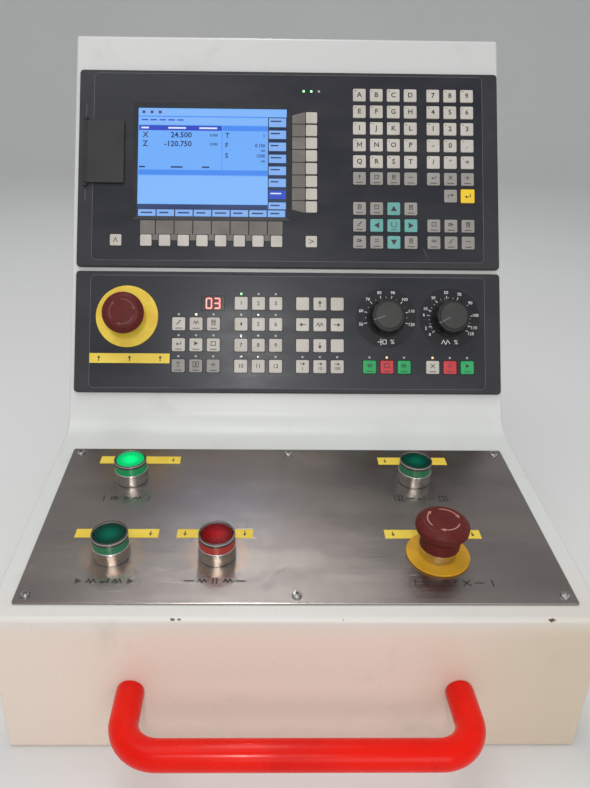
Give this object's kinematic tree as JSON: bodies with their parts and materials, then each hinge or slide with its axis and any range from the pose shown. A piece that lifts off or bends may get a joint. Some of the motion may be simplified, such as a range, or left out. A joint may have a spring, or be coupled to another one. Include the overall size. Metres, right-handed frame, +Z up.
{
  "type": "cnc lathe operator console",
  "caption": "Freestanding operator console of a CNC lathe with leaning screen and key panels, sloping desk with pushbuttons and emergency stops, and a front grab handle.",
  "frame": {"origin": "middle of the overall footprint, at the height of the underside that it stands on", "axes": "+Z up, +X to the operator's right, +Y from the operator towards the machine"},
  "size_m": [0.428, 0.5872, 0.496],
  "materials": {
    "enclosure_paint": "off-white powder coat",
    "brushed_stainless": "brushed stainless steel",
    "zinc_plated_steel": "zinc-plated steel",
    "satin_chrome": "satin chromed metal",
    "red_powder_coat": "bright red paint",
    "anthracite_plastic": "anthracite moulded plastic",
    "black_plastic": "black plastic",
    "knob_plastic": "dark grey plastic",
    "screen_glass_coat": "anti-glare screen glass",
    "circuit_board": "green circuit board",
    "display_window": "dark red display window",
    "ivory_keys": "ivory key caps",
    "grey_keys": "warm grey key caps",
    "yellow_plastic": "yellow plastic",
    "green_plastic": "green plastic",
    "red_plastic": "red plastic",
    "lit_green_lens": "lit green lens",
    "black_rubber": "black rubber"
  },
  "bodies": {
    "console": {"alphanumeric_keys": "ivory_keys", "bottom_softkeys": "ivory_keys", "cable_entry": "black_rubber", "control_bezel": "anthracite_plastic", "control_board": "circuit_board", "control_housing": "black_plastic", "desk_plate": "brushed_stainless", "desk_stop_collar": "satin_chrome", "desk_stop_contact": "black_plastic", "desk_stop_disc": "yellow_plastic", "display_bezel": "anthracite_plastic", "display_board": "circuit_board", "display_housing": "black_plastic", "door_button_bezel": "satin_chrome", "door_button_contact": "black_plastic", "drive_button_bezel": "satin_chrome", "drive_button_contact": "black_plastic", "enclosure_body": "enclosure_paint", "feed_switch": "black_plastic", "foot_plate": "zinc_plated_steel", "function_keys": "grey_keys", "handle": "red_powder_coat", "handle_screw_left": "zinc_plated_steel", "handle_screw_right": "zinc_plated_steel", "hold_button_bezel": "satin_chrome", "hold_button_contact": "black_plastic", "panel_keys": "ivory_keys", "panel_stop_collar": "satin_chrome", "panel_stop_contact": "black_plastic", "panel_stop_disc": "yellow_plastic", "rear_cover": "enclosure_paint", "screen_glass": "screen_glass_coat", "screen_module": "circuit_board", "service_port": "zinc_plated_steel", "side_softkeys": "grey_keys", "spindle_switch": "black_plastic", "start_button_bezel": "satin_chrome", "start_button_contact": "black_plastic", "tool_window": "display_window"},
    "flap": {"port_flap": "anthracite_plastic"},
    "back_button": {"back_key": "ivory_keys"},
    "forward_button": {"forward_key": "ivory_keys"},
    "tab_button": {"tab_key": "grey_keys"},
    "input_button": {"input_key": "yellow_plastic"},
    "spindle_left_button": {"spindle_left_key": "green_plastic"},
    "spindle_stop_button": {"spindle_stop_key": "red_plastic"},
    "spindle_right_button": {"spindle_right_key": "green_plastic"},
    "reset_button": {"reset_key": "ivory_keys"},
    "feed_stop_button": {"feed_stop_key": "red_plastic"},
    "feed_start_button": {"feed_start_key": "green_plastic"},
    "spindle_override": {"spindle_knob": "knob_plastic"},
    "feed_override": {"feed_knob": "knob_plastic"},
    "drive_button": {"drive_button_lens": "lit_green_lens"},
    "door_button": {"door_button_lens": "green_plastic"},
    "start_button": {"start_button_lens": "green_plastic"},
    "hold_button": {"hold_button_lens": "red_plastic"},
    "desk_stop_plunger": {"desk_stop_plunger": "black_plastic"},
    "desk_stop_head": {"desk_stop_head": "red_plastic"},
    "panel_stop_plunger": {"panel_stop_plunger": "black_plastic"},
    "panel_stop_head": {"panel_stop_head": "red_plastic"}
  },
  "joints": [
    {"name": "port_flap_hinge", "type": "hinge", "parent": "console", "child": "flap", "pos_m": [-0.2012, 0.13341, 0.39149], "axis": [0, -0.4695, -0.8829], "range_deg": [0, 120]},
    {"name": "back_key_press", "type": "slide", "parent": "console", "child": "back_button", "axis": [0, 0.8829, -0.4695], "range_m": [0, 0.001], "stiffness_N_per_m": 400, "springref_m": -0.001},
    {"name": "forward_key_press", "type": "slide", "parent": "console", "child": "forward_button", "axis": [0, 0.8829, -0.4695], "range_m": [0, 0.001], "stiffness_N_per_m": 400, "springref_m": -0.001},
    {"name": "tab_key_press", "type": "slide", "parent": "console", "child": "tab_button", "axis": [0, 0.8829, -0.4695], "range_m": [0, 0.001], "stiffness_N_per_m": 400, "springref_m": -0.001},
    {"name": "input_key_press", "type": "slide", "parent": "console", "child": "input_button", "axis": [0, 0.8829, -0.4695], "range_m": [0, 0.001], "stiffness_N_per_m": 400, "springref_m": -0.001},
    {"name": "spindle_left_key_press", "type": "slide", "parent": "console", "child": "spindle_left_button", "axis": [0, 0.8829, -0.4695], "range_m": [0, 0.001], "stiffness_N_per_m": 400, "springref_m": -0.001},
    {"name": "spindle_stop_key_press", "type": "slide", "parent": "console", "child": "spindle_stop_button", "axis": [0, 0.8829, -0.4695], "range_m": [0, 0.001], "stiffness_N_per_m": 400, "springref_m": -0.001},
    {"name": "spindle_right_key_press", "type": "slide", "parent": "console", "child": "spindle_right_button", "axis": [0, 0.8829, -0.4695], "range_m": [0, 0.001], "stiffness_N_per_m": 400, "springref_m": -0.001},
    {"name": "reset_key_press", "type": "slide", "parent": "console", "child": "reset_button", "axis": [0, 0.8829, -0.4695], "range_m": [0, 0.001], "stiffness_N_per_m": 400, "springref_m": -0.001},
    {"name": "feed_stop_key_press", "type": "slide", "parent": "console", "child": "feed_stop_button", "axis": [0, 0.8829, -0.4695], "range_m": [0, 0.001], "stiffness_N_per_m": 400, "springref_m": -0.001},
    {"name": "feed_start_key_press", "type": "slide", "parent": "console", "child": "feed_start_button", "axis": [0, 0.8829, -0.4695], "range_m": [0, 0.001], "stiffness_N_per_m": 400, "springref_m": -0.001},
    {"name": "spindle_override_turn", "type": "hinge", "parent": "console", "child": "spindle_override", "pos_m": [0.098, 0.05835, 0.24543], "axis": [0, -0.8829, 0.4695], "range_deg": [-210, 0]},
    {"name": "feed_override_turn", "type": "hinge", "parent": "console", "child": "feed_override", "pos_m": [0.161, 0.05835, 0.24543], "axis": [0, -0.8829, 0.4695], "range_deg": [-255, 0]},
    {"name": "drive_button_press", "type": "slide", "parent": "console", "child": "drive_button", "axis": [0, 0.0872, -0.9962], "range_m": [0, 0.0035], "stiffness_N_per_m": 600, "springref_m": -0.0035},
    {"name": "door_button_press", "type": "slide", "parent": "console", "child": "door_button", "axis": [0, 0.0872, -0.9962], "range_m": [0, 0.0035], "stiffness_N_per_m": 600, "springref_m": -0.0035},
    {"name": "start_button_press", "type": "slide", "parent": "console", "child": "start_button", "axis": [0, 0.0872, -0.9962], "range_m": [0, 0.0035], "stiffness_N_per_m": 600, "springref_m": -0.0035},
    {"name": "hold_button_press", "type": "slide", "parent": "console", "child": "hold_button", "axis": [0, 0.0872, -0.9962], "range_m": [0, 0.0035], "stiffness_N_per_m": 600, "springref_m": -0.0035},
    {"name": "desk_stop_press", "type": "slide", "parent": "console", "child": "desk_stop_plunger", "axis": [0, 0.0872, -0.9962], "range_m": [0, 0.0055]},
    {"name": "desk_stop_twist", "type": "hinge", "parent": "desk_stop_plunger", "child": "desk_stop_head", "pos_m": [0.1093, -0.1681, 0.13045], "axis": [0, -0.0872, 0.9962], "range_deg": [-30, 0], "stiffness_Nm_per_rad": 0.15},
    {"name": "panel_stop_press", "type": "slide", "parent": "console", "child": "panel_stop_plunger", "axis": [0, 0.8829, -0.4695], "range_m": [0, 0.0055]},
    {"name": "panel_stop_twist", "type": "hinge", "parent": "panel_stop_plunger", "child": "panel_stop_head", "pos_m": [-0.1575, 0.05807, 0.2449], "axis": [0, -0.8829, 0.4695], "range_deg": [-30, 0], "stiffness_Nm_per_rad": 0.15}
  ]
}
